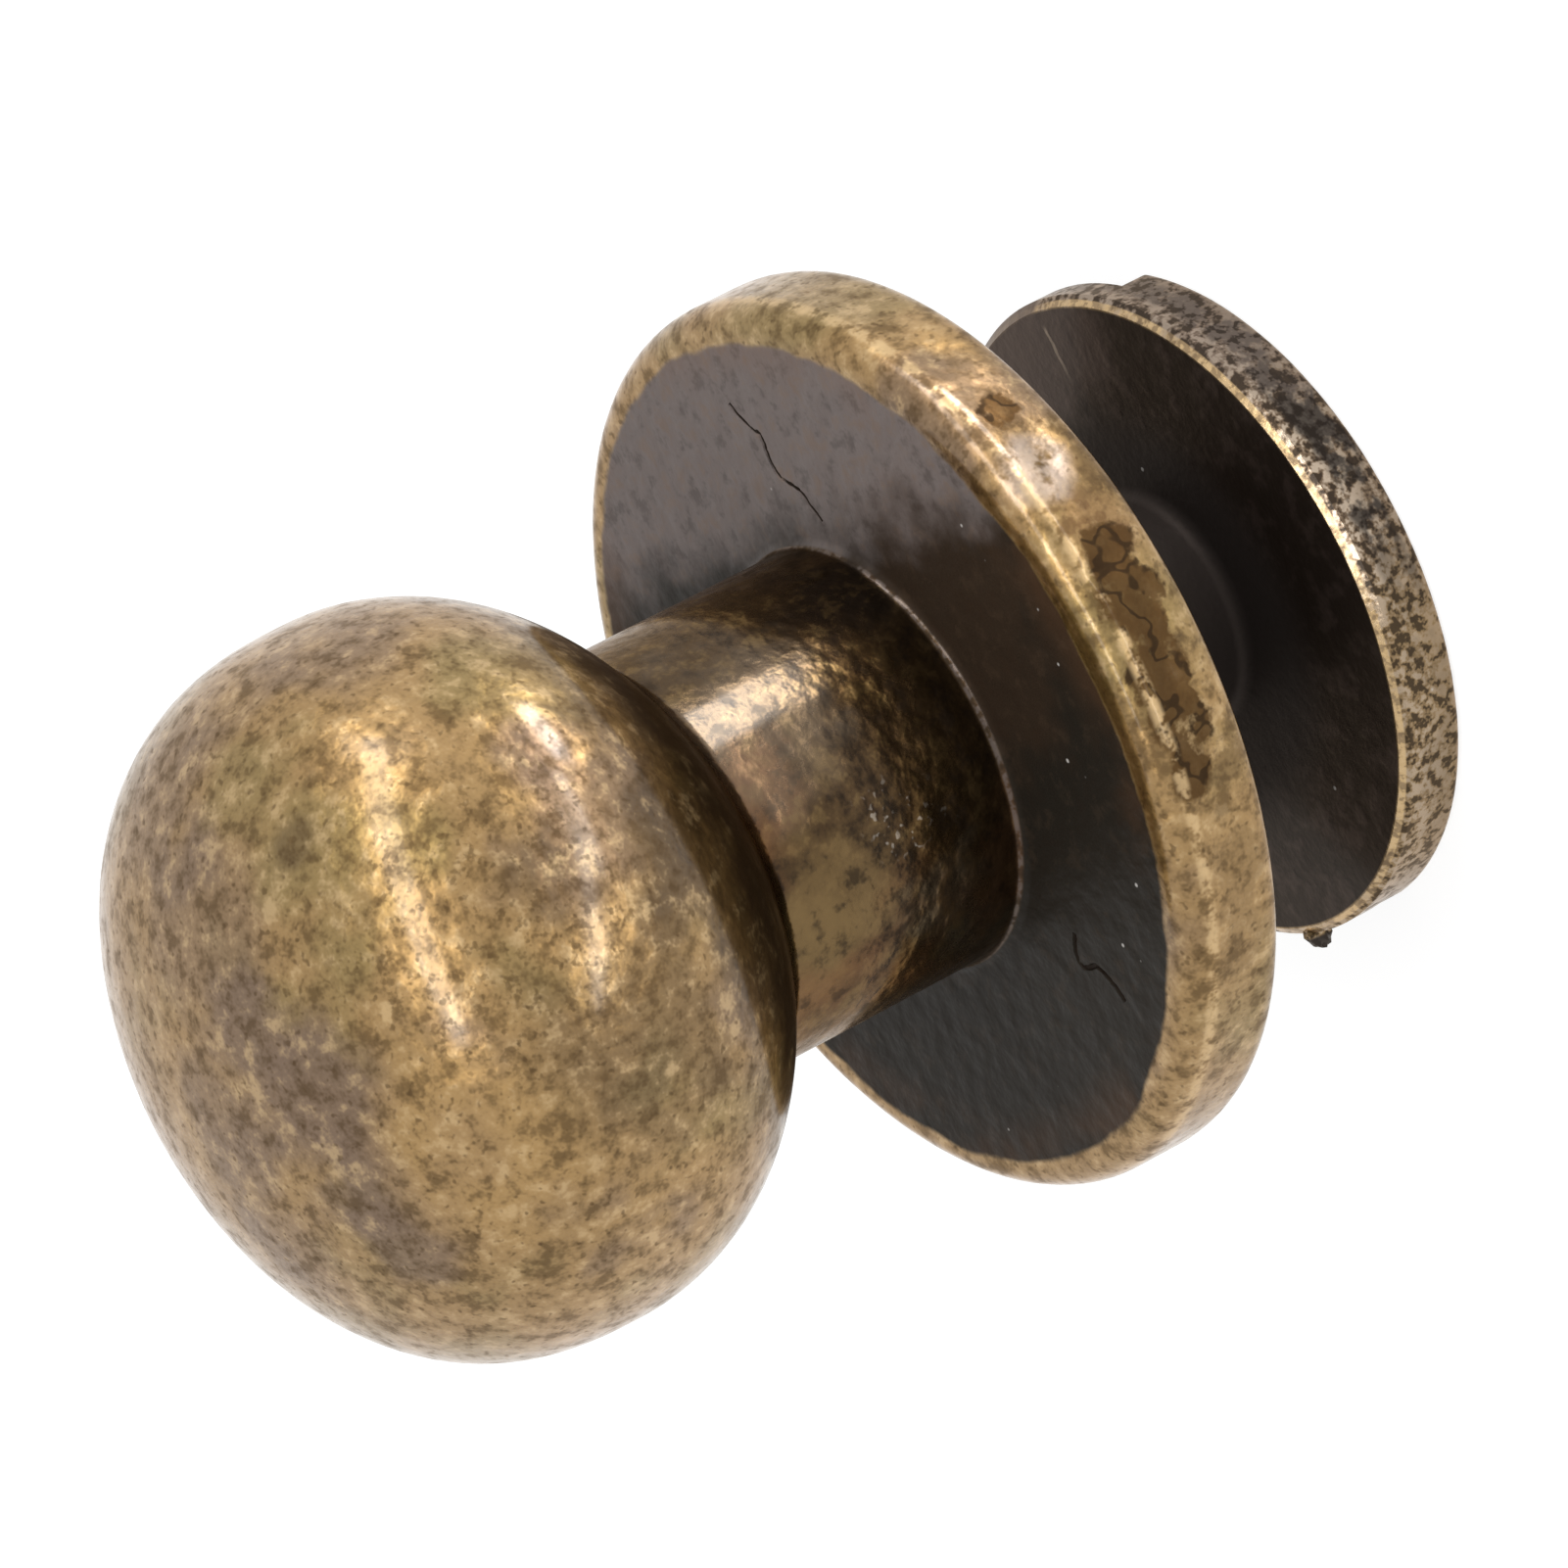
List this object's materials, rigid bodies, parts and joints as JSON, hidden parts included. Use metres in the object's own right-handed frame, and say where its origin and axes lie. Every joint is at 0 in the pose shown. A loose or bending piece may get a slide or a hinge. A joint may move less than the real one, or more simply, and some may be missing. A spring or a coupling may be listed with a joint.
{
  "type": "ball-head screw-back stud",
  "caption": "Leatherwork stud with a round ball on a short neck and flange, clamped from behind by a slotted screw that is backed out to leave a gap.",
  "frame": {"origin": "on the stud's axis, in the plane of the slotted back of the screw's head, on which the part stands", "axes": "+Z along the stud's axis, from the screw's head towards the ball; X along the screwdriver slot, with the gate stub at -X; the other mirror direction, Y, crosses the slot"},
  "size_m": [0.01, 0.01, 0.0134],
  "materials": {
    "stud_brass": "antique brass, mottled, polished ball and neck, dull dark flange face",
    "screw_brass": "dark antique brass, worn bright along the edges"
  },
  "bodies": {
    "screw": {"slotted_screw": "screw_brass"},
    "stud": {"ball_stud": "stud_brass"}
  },
  "joints": [
    {"name": "unscrew_slide", "type": "slide", "parent": "screw", "child": "stud", "axis": [0, 0, 1], "range_m": [-0.00265, 0.0023]}
  ]
}
